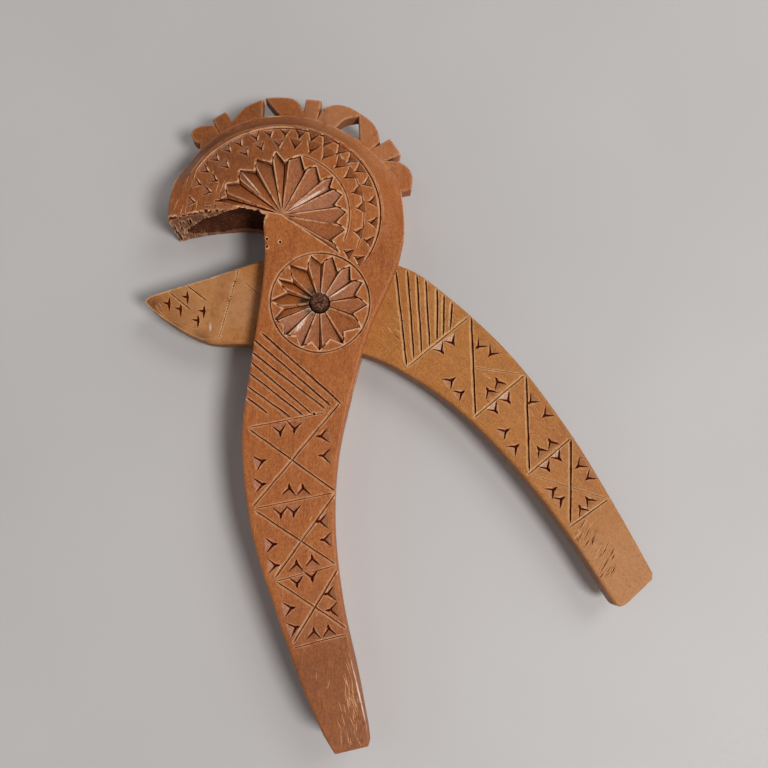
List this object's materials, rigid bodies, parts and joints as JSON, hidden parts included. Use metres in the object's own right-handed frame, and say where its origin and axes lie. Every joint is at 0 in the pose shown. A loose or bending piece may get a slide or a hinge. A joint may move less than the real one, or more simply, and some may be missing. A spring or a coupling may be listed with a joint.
{
  "type": "lever nutcracker",
  "caption": "Carved wooden lever nutcracker: a beak lever swings on a peg through a slot in the main lever, towards a hollowed upper jaw.",
  "frame": {"origin": "where the pivot peg's axis meets the flat back that the nutcracker lies on", "axes": "+Z along the pivot axis, out of the carved front; +Y from the pivot towards the head and its crest; +X towards the side where the inner lever's handle comes out"},
  "size_m": [0.1568, 0.2014, 0.0213],
  "materials": {
    "reddish_wood": "oiled, worn satin",
    "honey_wood": "oiled, worn satin",
    "dark_wood": "rough end grain"
  },
  "bodies": {
    "main": {"main_lever": "reddish_wood", "pivot_peg": "dark_wood"},
    "inner": {"inner_lever": "honey_wood"}
  },
  "joints": [
    {"name": "squeeze", "type": "hinge", "parent": "main", "child": "inner", "pos_m": [0, 0, 0.0095], "axis": [0, 0, 1], "range_deg": [-24, 30]}
  ]
}
